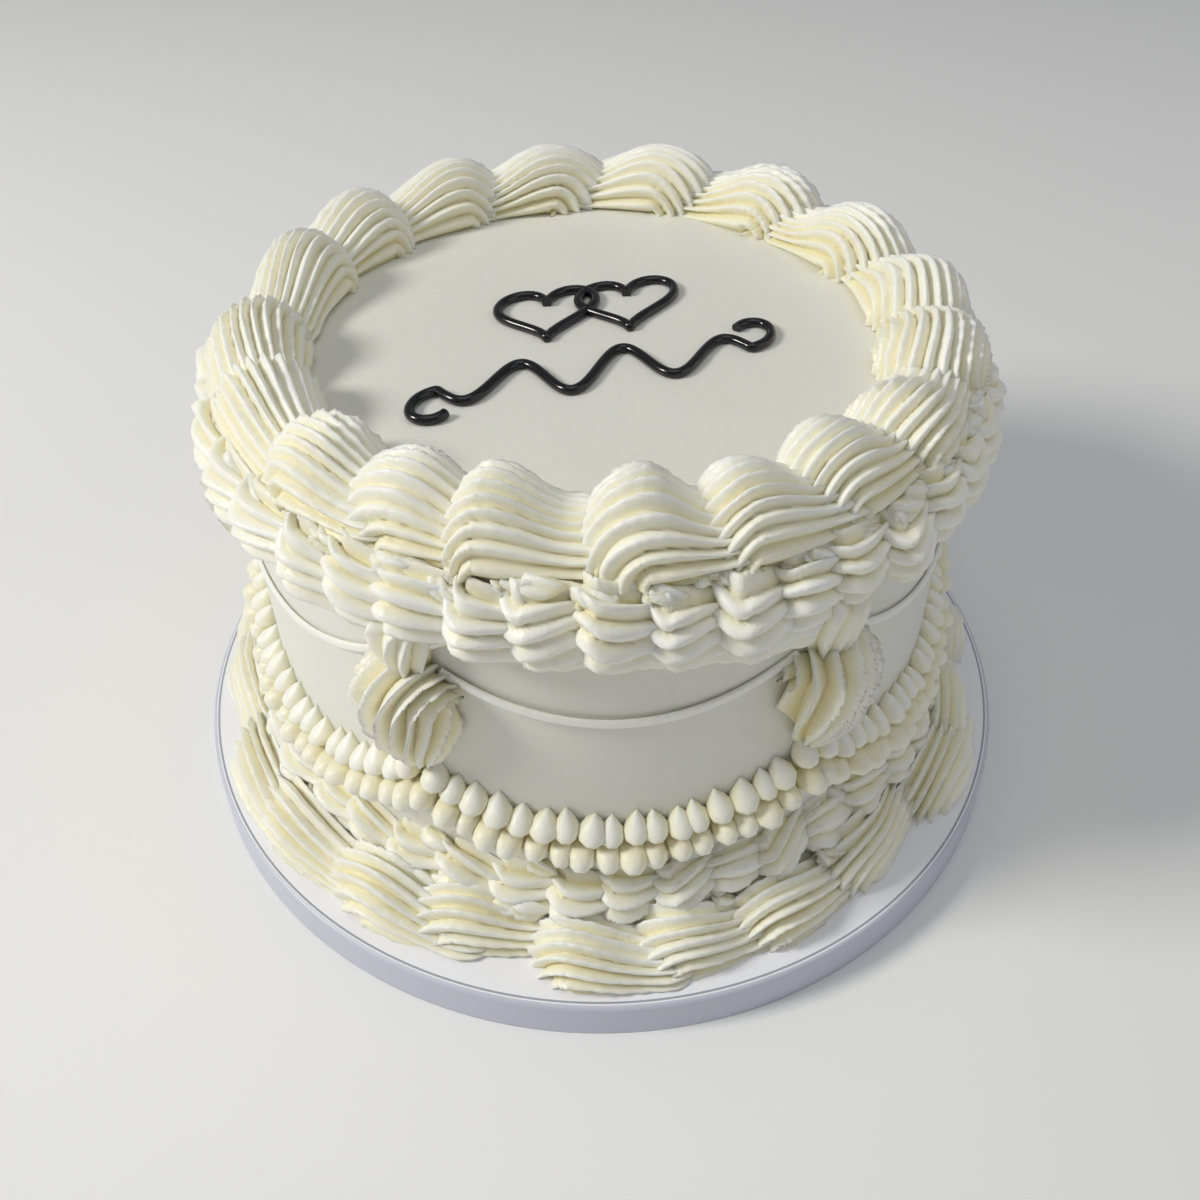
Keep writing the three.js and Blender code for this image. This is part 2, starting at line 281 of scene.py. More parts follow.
drum_outline = rounded_outline(DRUM_RADIUS, 0, DRUM_HEIGHT, DRUM_EDGE)
cake_drum = turned("cake_drum", drum_outline, DRUM_SIDES)
finish_piece(cake_drum, laminated_paper("laminated_white_paper"), ["drum"])

# %% [markdown]
# ## One piped shell
# A star tip squeezes out a rope with sharp ridges. To pipe a shell the baker lets it pile up, so that
# the rope folds over itself, then pulls away and lets it thin out to a tail. At the head the ridges
# therefore run in nested arcs round a point low on each side, and behind it they run straight to the tail.
#
# The same motion makes the mesh. A ridged half section is first swung a quarter turn round an axis
# that lies across the shell, which gives the head, and then slid backwards while it shrinks, which
# gives the tail. Each line of the section draws one ridge, so the arcs come out right by themselves.
# In a row the tail dips and then runs on under the next head; a hanging shell is drawn to a point instead.
# A worn star tip leaves round ridges and a sharp one leaves blades, and "sharp" mixes the two. The hand is
# never steady, so the ridges drift, differ in strength and tear a little, by waves with a random start.

# %% A shell from its section
TAIL_DIP = 0.48
DIP_NARROWS = 0.3
DIP_ENDS = 0.66
TAIL_CLOSES = 0.7
POINT_FULLNESS = 0.7
SECTION_FULLNESS = 0.85
RIDGE_FULLNESS = 0.75
WAVE_STARTS = 6
DRIFT = 0.14
SHAKE = 0.22
SHAKES = 8
SWELL = 0.035
RIDGE_STRENGTH = (0.7, 1.15)
SPARE_RIDGES = 4
TEARS_ALONG = 55
TEARS_SLANTING = 31
TEARS_ACROSS = 9
GROOVE_PAINTED_SHADE = 0.85
LOW_PAINTED_SHADE = 0.5


def hand_wave(draw, angle):
    return np.sin(angle + draw.uniform(0, WAVE_STARTS))


def piped_shell(name, length, half_width, rise, ridges, depth, seed, head=0.24, twist=0.0, lean=0.0,
                slant=0.0, sharp=0.3, pointed=False, across=84, along=52, torn=0.3 * MM):
    draw = np.random.default_rng(seed)
    head_rows = along // 2
    theta = np.linspace(-math.pi / 2, math.pi / 2, across + 1)[None, :]
    swing = np.concatenate([np.linspace(0, math.pi / 2, head_rows), np.full(along - head_rows, math.pi / 2)])
    slide = np.concatenate([np.zeros(head_rows), np.linspace(0, 1, along - head_rows + 1)[1:]])
    swing = swing[:, None]
    slide = slide[:, None]
    path = swing / math.pi + slide / 2
    if pointed:
        wide = tall = np.cos(math.pi / 2 * slide) ** POINT_FULLNESS
    else:
        dip = 0.5 - 0.5 * np.cos(math.pi * np.clip(slide / DIP_ENDS, 0, 1))
        closing = np.sqrt(1 - np.clip((slide - TAIL_CLOSES) / (1 - TAIL_CLOSES), 0, 1) ** 2)
        wide = (1 - DIP_NARROWS * TAIL_DIP * dip) * closing
        tall = (1 - TAIL_DIP * dip) * closing
    drift = sum(DRIFT * hand_wave(draw, k * theta + (3 + k) * path) for k in (1, 2, 3))
    drift = drift + SHAKE * hand_wave(draw, SHAKES * path)
    phase = ridges * (theta / math.pi + 0.5) + twist * (path - 0.5) + drift * np.cos(theta)
    strengths = draw.uniform(*RIDGE_STRENGTH, ridges + 2 * SPARE_RIDGES)
    ridge_number = np.floor(phase).astype(int) + SPARE_RIDGES
    strength = strengths[np.clip(ridge_number, 0, len(strengths) - 1)]
    rounded = np.abs(np.sin(math.pi * phase)) ** RIDGE_FULLNESS
    blade = 1 - np.abs(np.cos(math.pi * phase))
    ridge = (1 - sharp) * rounded + sharp * blade
    rag = hand_wave(draw, TEARS_ALONG * path) * hand_wave(draw, TEARS_SLANTING * path + TEARS_ACROSS * theta)
    swell = 1 + SWELL * hand_wave(draw, 2 * theta + 4 * path)
    grow = swell * (1 - depth * strength * (1 - ridge)) + torn / rise * rag * ridge ** 4
    centre = head * length
    reach = rise * np.cos(theta) ** SECTION_FULLNESS * grow
    x = centre - reach * centre / rise * np.cos(swing) + slide * (length - centre)
    y = half_width * np.sin(theta) * grow * wide
    z = reach * np.sin(swing) * tall
    y = y + lean * z + slant * (x - centre)
    points = np.stack([x, y, z], axis=-1).reshape(-1, 3)
    faces = []
    for i in range(along - 1):
        for j in range(across):
            a = i * (across + 1) + j
            faces.append((a, a + 1, a + across + 2, a + across + 1))
    # Painted shade: the colour turns warm in each groove and towards the edges of the section, where the
    # shell meets the surface under it.
    low = LOW_PAINTED_SHADE * (2 * np.abs(theta) / math.pi) ** 3
    groove = (GROOVE_PAINTED_SHADE * (1 - ridge) ** 1.5 * strength + low).reshape(-1)
    return closed_piece(name, points, faces, np.clip(groove, 0, 1))


print("in a row the tail dips to", round(1 - TAIL_DIP, 2), "of the height of the head")

# %% [markdown]
# ## A row of shells round the cake
# A border is one shell after another on a circle, each head over the tail before it. Geometry Nodes can lay
# them in a straight line first, picking at random from a few different shells, and then roll that line
# round the cake by moving every point. Rolling the finished line also bends each shell to the circle, which
# turning single shells would not do. On this cake the shells are closer in front than behind, so the
# roll has a "Crowding" input that squeezes the front and stretches the back.

# %% The tree that rolls a row
LAST_PICK = 99
YAW_SHARE = 1.2


def new_tree(name, sockets):
    tree = bpy.data.node_groups.new(name, "GeometryNodeTree")
    tree.interface.new_socket("Geometry", in_out="INPUT", socket_type="NodeSocketGeometry")
    for label, kind in sockets.items():
        tree.interface.new_socket(label, in_out="INPUT", socket_type="NodeSocket" + kind)
    tree.interface.new_socket("Geometry", in_out="OUTPUT", socket_type="NodeSocketGeometry")
    return tree


def row_tree():
    tree = new_tree("Row of shells", {
        "Shells": "Collection", "Count": "Int", "Pitch": "Float", "Radius": "Float", "Height": "Float",
        "Lean outwards": "Float", "First": "Float", "Crowding": "Float", "Unevenness": "Float",
        "Slip": "Float", "Seed": "Int", "Material": "Material"})
    given = add_node(tree, "NodeGroupInput").outputs
    step = add_node(tree, "ShaderNodeCombineXYZ", {"X": given["Pitch"]})
    line = add_node(tree, "GeometryNodeMeshLine", {"Count": given["Count"], "Offset": step.outputs[0]})
    shells = add_node(tree, "GeometryNodeCollectionInfo",
                      {"Collection": given["Shells"], "Separate Children": True, "Reset Children": True})
    which = add_node(tree, "FunctionNodeRandomValue", {4: 0, 5: LAST_PICK, "Seed": given["Seed"]},
                     data_type="INT")
    least = add_node(tree, "ShaderNodeMath", {0: 1.0, 1: given["Unevenness"]}, operation="SUBTRACT")
    most = add_node(tree, "ShaderNodeMath", {0: 1.0, 1: given["Unevenness"]}, operation="ADD")
    sizes = add_node(tree, "FunctionNodeRandomValue",
                     {0: least.outputs[0], 1: most.outputs[0], "Seed": given["Seed"]},
                     data_type="FLOAT_VECTOR")
    turned_a_bit = add_node(tree, "ShaderNodeMath", {0: given["Unevenness"], 1: YAW_SHARE},
                            operation="MULTIPLY")
    back = add_node(tree, "ShaderNodeMath", {0: turned_a_bit.outputs[0], 1: -1.0}, operation="MULTIPLY")
    yaw = add_node(tree, "FunctionNodeRandomValue", {2: back.outputs[0], 3: turned_a_bit.outputs[0],
                                                     "Seed": given["Seed"]}, data_type="FLOAT")
    spin = add_node(tree, "ShaderNodeCombineXYZ", {"Z": yaw.outputs[1]})
    chance = add_node(tree, "FunctionNodeRandomValue", {2: -1.0, 3: 1.0, "Seed": given["Seed"]},
                      data_type="FLOAT")
    share = add_node(tree, "ShaderNodeMath", {0: chance.outputs[1], 1: given["Slip"]}, operation="MULTIPLY")
    along = add_node(tree, "ShaderNodeMath", {0: share.outputs[0], 1: given["Pitch"]}, operation="MULTIPLY")
    shift = add_node(tree, "ShaderNodeCombineXYZ", {"X": along.outputs[0]})
    uneven = add_node(tree, "GeometryNodeSetPosition", {0: line.outputs[0], "Offset": shift.outputs[0]})
    laid = add_node(tree, "GeometryNodeInstanceOnPoints",
                    {"Points": uneven.outputs[0], "Instance": shells.outputs[0], "Pick Instance": True,
                     "Instance Index": which.outputs[2], "Rotation": spin.outputs[0],
                     "Scale": sizes.outputs[0]})
    whole = add_node(tree, "GeometryNodeRealizeInstances", {0: laid.outputs[0]})
    position = add_node(tree, "GeometryNodeInputPosition")
    spot = add_node(tree, "ShaderNodeSeparateXYZ", {0: position.outputs[0]})
    section = add_node(tree, "ShaderNodeCombineXYZ", {"X": spot.outputs["Y"], "Z": spot.outputs["Z"]})
    leaned = add_node(tree, "ShaderNodeVectorRotate",
                      {"Vector": section.outputs[0], "Angle": given["Lean outwards"]}, rotation_type="Y_AXIS")
    base = add_node(tree, "ShaderNodeCombineXYZ", {"X": given["Radius"], "Z": given["Height"]})
    out = add_node(tree, "ShaderNodeVectorMath", {0: leaned.outputs[0], 1: base.outputs[0]}, operation="ADD")
    plain = add_node(tree, "ShaderNodeMath", {0: spot.outputs["X"], 1: given["Radius"]}, operation="DIVIDE")
    turn = add_node(tree, "ShaderNodeMath", {0: plain.outputs[0], 1: given["First"]}, operation="ADD")
    wave = add_node(tree, "ShaderNodeMath", {0: turn.outputs[0]}, operation="COSINE")
    squeeze = add_node(tree, "ShaderNodeMath", {0: wave.outputs[0], 1: given["Crowding"]},
                       operation="MULTIPLY")
    angle = add_node(tree, "ShaderNodeMath", {0: turn.outputs[0], 1: squeeze.outputs[0]},
                     operation="SUBTRACT")
    rolled = add_node(tree, "ShaderNodeVectorRotate",
                      {"Vector": out.outputs[0], "Angle": angle.outputs[0]}, rotation_type="Z_AXIS")
    moved = add_node(tree, "GeometryNodeSetPosition", {0: whole.outputs[0], "Position": rolled.outputs[0]})
    facing_out = add_node(tree, "GeometryNodeFlipFaces", {0: moved.outputs[0]})
    painted = add_node(tree, "GeometryNodeSetMaterial",
                       {"Geometry": facing_out.outputs[0], "Material": given["Material"]})
    add_node(tree, "NodeGroupOutput", {0: painted.outputs[0]})
    return tree


def realise(name, guide, tree, values):
    modifier = guide.modifiers.new(tree.name, "NODES")
    modifier.node_group = tree
    inputs = {item.name: item.identifier for item in tree.interface.items_tree
              if item.item_type == "SOCKET" and item.in_out == "INPUT"}
    for label, value in values.items():
        modifier[inputs[label]] = value
    bpy.context.scene.collection.objects.link(guide)
    bpy.context.view_layer.update()
    evaluated = guide.evaluated_get(bpy.context.evaluated_depsgraph_get())
    mesh = bpy.data.meshes.new_from_object(evaluated)
    guide.modifiers.remove(modifier)
    bpy.data.objects.remove(guide)
    mesh.name = name
    mesh.shade_smooth()
    return bpy.data.objects.new(name, mesh)


def empty_guide(name):
    return bpy.data.objects.new(name, bpy.data.meshes.new(name))


def shelf(name, shells):
    collection = bpy.data.collections.new(name)
    for shell in shells:
        collection.objects.link(shell)
    return collection


def clear_shelf(collection):
    for shell in list(collection.objects):
        bpy.data.objects.remove(shell)
    bpy.data.collections.remove(collection)


roll = row_tree()
print("row tree has", len(roll.nodes), "nodes")

# %% [markdown]
# ## Small things at given places
# Curls, drop shells and beads don't follow each other in a line, so a second tree copies them to points.
# Each point carries its own turn and size. Several meshes that were piped in one go are joined into one.

# %% The tree that sets things at points
def placed_tree():
    tree = new_tree("Set at points", {"Things": "Collection", "Seed": "Int", "Material": "Material"})
    given = add_node(tree, "NodeGroupInput").outputs
    things = add_node(tree, "GeometryNodeCollectionInfo",
                      {"Collection": given["Things"], "Separate Children": True, "Reset Children": False})
    turn = add_node(tree, "GeometryNodeInputNamedAttribute", {"Name": "turn"}, data_type="FLOAT_VECTOR")
    size = add_node(tree, "GeometryNodeInputNamedAttribute", {"Name": "size"}, data_type="FLOAT_VECTOR")
    which = add_node(tree, "FunctionNodeRandomValue", {4: 0, 5: LAST_PICK, "Seed": given["Seed"]},
                     data_type="INT")
    laid = add_node(tree, "GeometryNodeInstanceOnPoints",
                    {"Points": given["Geometry"], "Instance": things.outputs[0], "Pick Instance": True,
                     "Instance Index": which.outputs[2], "Rotation": turn.outputs[0],
                     "Scale": size.outputs[0]})
    whole = add_node(tree, "GeometryNodeRealizeInstances", {0: laid.outputs[0]})
    painted = add_node(tree, "GeometryNodeSetMaterial",
                       {"Geometry": whole.outputs[0], "Material": given["Material"]})
    add_node(tree, "NodeGroupOutput", {0: painted.outputs[0]})
    return tree


def point_guide(name, places, turns, sizes):
    mesh = bpy.data.meshes.new(name)
    mesh.from_pydata(places, [], [])
    mesh.attributes.new("turn", "FLOAT_VECTOR", "POINT").data.foreach_set("vector", np.ravel(turns))
    mesh.attributes.new("size", "FLOAT_VECTOR", "POINT").data.foreach_set("vector", np.ravel(sizes))
    return bpy.data.objects.new(name, mesh)


def join_meshes(piece, other):
    shape = bmesh.new()
    shape.from_mesh(piece.data)
    shape.from_mesh(other.data)
    shape.to_mesh(piece.data)
    shape.free()
    bpy.data.objects.remove(other)
    return piece


set_at_points = placed_tree()

# %% [markdown]
# ## The top border
# Eighteen large shells stand on the rim. They are piped with a big open star, which leaves fine, deep
# ridges. Six different shells are enough: with a little random size and turn no two look alike.

# %% The top border
FRONT_CROWDING = math.radians(10.9)
WALL = CAKE_RADIUS + GAP
CURL = {"length": 11 * MM, "half_width": 3.4 * MM, "rise": 4.2 * MM, "ridges": 2, "depth": 0.45, "head": 0.3,
        "twist": 1.8, "sharp": 0.7, "pointed": True, "across": 14, "along": 12, "torn": 0.0}
CURL_SHAPES = 4
CURL_SLIP = 0.7
CURL_ROLL = 0.5
CURL_PITCH = 0.25
CURL_YAW = 0.4
CURL_SIZES = (0.75, 1.25)


def sway(draw, spread):
    return spread * draw.uniform(-1, 1)


def curl_ring(name, count, radius, height, spread, tilt, seed):
    draw = np.random.default_rng(seed)
    curls = [piped_shell(f"{name}_{k}", seed=seed + k, **CURL) for k in range(CURL_SHAPES)]
    places = []
    turns = []
    sizes = []
    for n in range(count):
        angle = math.tau * (n + sway(draw, CURL_SLIP)) / count
        reach = radius + sway(draw, spread)
        places.append((reach * math.cos(angle), reach * math.sin(angle), height + sway(draw, spread)))
        turns.append((tilt + sway(draw, CURL_ROLL), sway(draw, CURL_PITCH),
                      angle + math.pi / 2 + sway(draw, CURL_YAW)))
        sizes.append((draw.uniform(*CURL_SIZES),) * 3)
    kept = shelf(name + "_shelf", curls)
    ring = realise(name, point_guide(name + "_points", places, turns, sizes), set_at_points,
                   {"Things": kept, "Seed": seed, "Material": piped_cream})
    clear_shelf(kept)
    return ring


def border(name, nodes, count, radius, height, crest, overlap, first, variants, unevenness, slip, seed,
           curls=(), **shell):
    pitch = math.tau * radius / count
    shells = [piped_shell(f"{name}_{k}", pitch / overlap, seed=seed + k, **dict(shell, **variants[k]))
              for k in range(len(variants))]
    kept = shelf(name + "_shelf", shells)
    piece = realise(name, empty_guide(name + "_guide"), roll, {
        "Shells": kept, "Count": count, "Pitch": pitch, "Radius": radius, "Height": height,
        "Lean outwards": math.radians(90 - crest), "First": math.tau * first,
        "Crowding": FRONT_CROWDING, "Unevenness": unevenness, "Slip": slip, "Seed": seed,
        "Material": piped_cream})
    clear_shelf(kept)
    for ring in curls:
        join_meshes(piece, ring)
    finish_piece(piece, piped_cream, nodes)


def each_with(names, *rows):
    return [dict(zip(names, row)) for row in rows]


border("top_shells", ["top_border"], count=18, radius=89 * MM, height=CAKE_TOP, crest=90, overlap=0.64,
       first=0.01, seed=11, unevenness=0.06, slip=0.13, half_width=14.4 * MM, rise=18.8 * MM, ridges=12,
       depth=0.21, sharp=0.35,
       variants=each_with(("twist", "lean", "head", "torn"),
                          (0.4, 0.0, 0.34, 0.2 * MM), (-0.3, 0.06, 0.28, 0.5 * MM),
                          (0.9, -0.05, 0.38, 0.3 * MM), (0.1, 0.08, 0.3, 0.2 * MM),
                          (1.4, 0.02, 0.36, 0.6 * MM), (-0.6, -0.04, 0.26, 0.3 * MM)))

# %% [markdown]
# ## The border under the rim
# A smaller and coarser star pipes a second row on the side, right under the first. These shells lie on
# the wall with their crests outwards, and the tip was held unsteadily, so they are less alike. Where the two
# rows meet, the cream breaks up into small curls, which a ring of tiny shells at random turns stands for.

# %% The side border
border("side_shells", ["side_border"], count=36, radius=WALL, height=124.5 * MM, crest=6, overlap=0.5,
       first=0.012, seed=31, unevenness=0.12, slip=0.1, half_width=11.8 * MM, rise=10.5 * MM, ridges=6,
       depth=0.34, sharp=0.25, head=0.24, across=48, along=32,
       curls=[curl_ring("crease_curls", 76, 100.4 * MM, 132.2 * MM, 0.9 * MM, 0.6, 301)],
       variants=each_with(("twist", "lean", "slant"), (0.5, 0.1, 0.12), (-0.8, -0.1, 0.05), (1.6, 0.2, 0.2),
                          (0.0, 0.0, 0.1), (1.0, -0.2, 0.16)))

# %% [markdown]
# ## Two rows at the foot
# The joint between cake and drum is hidden by a small row on the wall and a large row on the drum in
# front of it. The large shells lean against the small ones and show their nested arcs outwards.

# %% The foot borders
border("foot_upper_shells", ["foot_upper_border"], count=36, radius=WALL, height=27 * MM, crest=20,
       overlap=0.54, first=0.02, seed=53, unevenness=0.13, slip=0.14, half_width=9 * MM, rise=9.5 * MM,
       ridges=5, depth=0.34, sharp=0.4, across=48, along=32, torn=0.5 * MM,
       curls=[curl_ring("upper_foot_curls", 26, 99.5 * MM, 34 * MM, 0.8 * MM, 0.9, 331),
              curl_ring("lower_foot_curls", 22, 106.5 * MM, 23 * MM, 1 * MM, 0.9, 351)],
       variants=each_with(("twist", "slant", "lean"), (0.6, 0.1, 0.2), (-0.8, 0.2, -0.2), (1.4, -0.1, 0.1),
                          (0.0, 0.15, -0.1), (1.0, 0.0, 0.3)))
border("foot_lower_shells", ["foot_lower_border"], count=20, radius=109.5 * MM, height=DRUM_HEIGHT,
       crest=72, overlap=0.6, first=0.005, seed=71, unevenness=0.1, slip=0.12, half_width=11.8 * MM,
       rise=17 * MM, ridges=10, depth=0.28, sharp=0.45, across=80, along=50, torn=0.7 * MM,
       variants=each_with(("twist", "lean", "head"), (0.5, -0.1, 0.36), (-0.6, 0.0, 0.42), (1.2, -0.15, 0.34),
                          (0.2, -0.05, 0.44), (0.9, 0.05, 0.3)))

# %% [markdown]
# ## Where the swags meet
# The strings and the garland hang in six swags. A hanging string has a low middle and two high ends, and
# over so short a span a parabola is as good as the true curve. One function gives the place on the
# wall for a share of the way round the cake, and the drops, strings and garland all use it.

# %% The swag line
SWAGS = 6
FIRST_JOINT = 242 / 360
SWAG_CROWDING = math.radians(2)


def swag_angle(share):
    turn = math.tau * (FIRST_JOINT + share / SWAGS)
    return turn - SWAG_CROWDING * math.cos(turn)


def swag_height(low, sag, share):
    return low + sag * (2 * (share % 1) - 1) ** 2


print("the swags meet at", [round(math.degrees(swag_angle(n)) % 360) for n in range(SWAGS)], "degrees")

# %% [markdown]
# ## Drop shells
# A pair of shells piped downwards covers each place where two swags meet: a small one above, and a large
# one over its tail, drawn to a point. The baker's wrist turns as the tip comes down, so the ridges run
# slantwise. Each pair is made lying along the x axis, stood up against the wall and turned to its joint.

# %% The drop shells
def stood_on_wall(shell, top):
    upright = Matrix.Rotation(math.pi / 2, 4, "Y")
    shell.data.transform(Matrix.Translation((WALL, 0, top)) @ upright)
    return shell


pairs = []
for k, twist in enumerate((2.6, 2.0, 3.1)):
    small = piped_shell(f"drop_small_{k}", 27 * MM, 9.4 * MM, 9.5 * MM, 5, 0.36, 90 + k, twist=0.8,
                        head=0.2, sharp=0.6, pointed=True, across=54, along=30)
    large = piped_shell(f"drop_large_{k}", 41 * MM, 14.6 * MM, 15.5 * MM, 8, 0.42, 95 + k, twist=twist,
                        head=0.24, sharp=0.9, pointed=True, across=88, along=52)
    stood_on_wall(small, 121 * MM)
    stood_on_wall(large, 105 * MM)
    pairs.append(join_meshes(large, small))
pair_shelf = shelf("pair_shelf", pairs)
joints = [swag_angle(n) for n in range(SWAGS)]
drop_shells = realise("drop_shells", point_guide("joints", [(0, 0, 0)] * SWAGS, [(0, 0, a) for a in joints],
                                                 [(1, 1, 1)] * SWAGS), set_at_points,
                      {"Things": pair_shelf, "Seed": 4, "Material": piped_cream})
clear_shelf(pair_shelf)
finish_piece(drop_shells, piped_cream, [f"drop_shells_{n + 1}" for n in range(SWAGS)])

# %% [markdown]
# ## The garland
# The garland is a double row of beads piped with a small round tip. Those above end in a tip that
# points up, those below are rounder and end in a tip that points down. A bead is a turned drop,
# pressed flat at the back. There are more than two hundred, so each has only about ninety faces, and
# Geometry Nodes copies them to points along the swags.

# %% The beads
BEADS = 108
GARLAND_MIDDLE = 48.2 * MM
GARLAND_SAG = 13 * MM
BEAD_SHAPES = 3
BEAD_SIDES = 10
BEAD_RINGS = 9
RINGS_CROWD = 1.3
BASE_BLUNT = 0.5
TIP_POINTED = 0.7
BEAD_UNEVEN = 0.09
BEAD_BEHIND = 0.25
BASE_SWELLS = 1.05
TIP_THINS = 0.25
BEAD_SUNK = 0.5 * MM
SIDE_PAINTED_SHADE = 0.5
BASE_PAINTED_SHADE = 0.5
BEAD_SWAY = 0.12
TILT_SHARE = 0.5


def bead(name, wide, tall, thick, tip, seed):
    draw = np.random.default_rng(seed)
    points = []
    groove = []
    for i in range(BEAD_RINGS + 1):
        share = (i / BEAD_RINGS) ** RINGS_CROWD
        blunt = BASE_BLUNT + TIP_POINTED * share
        belly = math.sin(math.pi * share ** tip) ** blunt if 0 < i < BEAD_RINGS else 0.0
        for j in range(BEAD_SIDES):
            turn = math.tau * j / BEAD_SIDES
            side = belly * wide / 2 * math.cos(turn) * (1 + sway(draw, BEAD_UNEVEN))
            round_front = BEAD_BEHIND + (1 - BEAD_BEHIND) * math.sin(turn)
            front = belly * thick * round_front * (BASE_SWELLS - TIP_THINS * share)
            points.append((max(-BEAD_SUNK, front), side, tall * share))
            # Painted shade: the colour turns warm on the bead's sides and at its base, where it meets its
            # neighbours.
            groove.append(min(1.0, SIDE_PAINTED_SHADE * math.cos(turn) ** 2 + BASE_PAINTED_SHADE * (1 - share) ** 4))
    return closed_piece(name, points, ring_faces(BEAD_RINGS + 1, BEAD_SIDES), groove)


def bead_row(name, beads, lift, share_shift, seed):
    draw = np.random.default_rng(seed)
    places = []
    turns = []
    sizes = []
    for n in range(BEADS):
        share = (n + share_shift + sway(draw, BEAD_SWAY)) / BEADS * SWAGS
        angle = swag_angle(share)
        slope = 4 * GARLAND_SAG * (2 * (share % 1) - 1) / (math.tau * CAKE_RADIUS / SWAGS)
        height = swag_height(GARLAND_MIDDLE, GARLAND_SAG, share) + lift
        places.append((WALL * math.cos(angle), WALL * math.sin(angle), height))
        turns.append((TILT_SHARE * slope + sway(draw, BEAD_SWAY), 0, angle))
        width = 1 + sway(draw, BEAD_SWAY)
        sizes.append((width, width, 1 + sway(draw, BEAD_SWAY)))
    kept = shelf(name + "_shelf", beads)
    row = realise(name, point_guide(name + "_points", places, turns, sizes), set_at_points,
                  {"Things": kept, "Seed": seed, "Material": piped_cream})
    clear_shelf(kept)
    return row


upper_beads = [bead(f"upper_{k}", 7.4 * MM, (8 + 0.6 * k) * MM, 6.2 * MM, 0.44 + 0.08 * k, k)
               for k in range(BEAD_SHAPES)]
lower_beads = [bead(f"lower_{k}", 8 * MM, (11 + 0.6 * k) * MM, 9.6 * MM, 0.66, 9 + k)
               for k in range(BEAD_SHAPES)]
for drop in lower_beads:
    drop.data.transform(Matrix.Rotation(math.pi, 4, "X"))
garland = join_meshes(bead_row("garland_beads", upper_beads, 0.5 * MM, 0.5, 5),
                      bead_row("lower", lower_beads, 0.2 * MM, 0.3, 6))
finish_piece(garland, piped_cream, ["garland"])

# %% [markdown]
# ## Drop strings
# A drop string is a thin line of buttercream that is fixed at one end, let hang and fixed again. The
# tip had a nick, so the line has two low ridges. Geometry Nodes sweep a two-ridged section along the swag.

# %% The strings
STRING_LOW = 90.5 * MM
STRING_SAG = 16 * MM
STRING_WIDTH = 2.6 * MM
STRING_HEIGHT = 1.5 * MM
STRING_SIDES = 20
STRING_POINTS = 40
STRING_LIES = 0.35
NICK = 0.28
CLEAR_OF_JOINT = 0.08


def sweep_tree():
    tree = new_tree("Sweep a section", {"Section": "Object", "Length of a step": "Float",
                                        "Material": "Material"})
    given = add_node(tree, "NodeGroupInput").outputs
    path = add_node(tree, "GeometryNodeMeshToCurve", {0: given["Geometry"]})
    even = add_node(tree, "GeometryNodeResampleCurve", {"Curve": path.outputs[0],
                                                        "Length": given["Length of a step"]}, mode="LENGTH")
    normal = add_node(tree, "GeometryNodeSetCurveNormal", {0: even.outputs[0]}, mode="Z_UP")
    shape = add_node(tree, "GeometryNodeObjectInfo", {"Object": given["Section"]})
    loop = add_node(tree, "GeometryNodeMeshToCurve", {0: shape.outputs["Geometry"]})
    swept = add_node(tree, "GeometryNodeCurveToMesh",
                     {"Curve": normal.outputs[0], "Profile Curve": loop.outputs[0], "Fill Caps": True})
    whole = add_node(tree, "GeometryNodeRealizeInstances", {0: swept.outputs[0]})
    painted = add_node(tree, "GeometryNodeSetMaterial",
                       {"Geometry": whole.outputs[0], "Material": given["Material"]})
    add_node(tree, "NodeGroupOutput", {0: painted.outputs[0]})
    return tree


def line_guide(name, lines, closed=False):
    points = []
    edges = []
    for line in lines:
        start = len(points)
        points += line
        edges += [(start + k, start + k + 1) for k in range(len(line) - 1)]
        if closed:
            edges.append((len(points) - 1, start))
    mesh = bpy.data.meshes.new(name)
    mesh.from_pydata(points, edges, [])
    return bpy.data.objects.new(name, mesh)


def outward(piece):
    shape = bmesh.new()
    shape.from_mesh(piece.data)
    bmesh.ops.recalc_face_normals(shape, faces=shape.faces)
    shape.to_mesh(piece.data)
    shape.free()
    return piece


two_ridges = []
for k in range(STRING_SIDES):
    turn = math.tau * k / STRING_SIDES
    ridge = 1 - NICK + NICK * abs(math.sin(turn))
    two_ridges.append((STRING_HEIGHT / 2 * math.cos(turn) * ridge, STRING_WIDTH / 2 * math.sin(turn), 0))
sweep = sweep_tree()
string_lines = []
reach = WALL + STRING_LIES * STRING_HEIGHT
for n in range(SWAGS):
    shares = np.linspace(n + CLEAR_OF_JOINT, n + 1 - CLEAR_OF_JOINT, STRING_POINTS)
    string_lines.append([(reach * math.cos(swag_angle(s)), reach * math.sin(swag_angle(s)),
                          swag_height(STRING_LOW, STRING_SAG, s)) for s in shares])
section = line_guide("two_ridges", [two_ridges], closed=True)
bpy.context.scene.collection.objects.link(section)
drop_strings = realise("drop_strings", line_guide("string_guide", string_lines), sweep,
                       {"Section": section, "Length of a step": 1.5 * MM, "Material": piped_cream})
bpy.data.objects.remove(section)
finish_piece(outward(drop_strings), piped_cream, [f"drop_string_{n + 1}" for n in range(SWAGS)])

# %% [markdown]
# ## The gel flourish
# Black piping gel is sugar, starch and colour. It dries to a glossy skin and keeps a round section. Two
# hearts and a scroll are drawn as lines on the flat top and swept with a round section. A heart is the usual
# heart curve in sines and cosines. Each half of the scroll is a spiral that runs on into a wave.

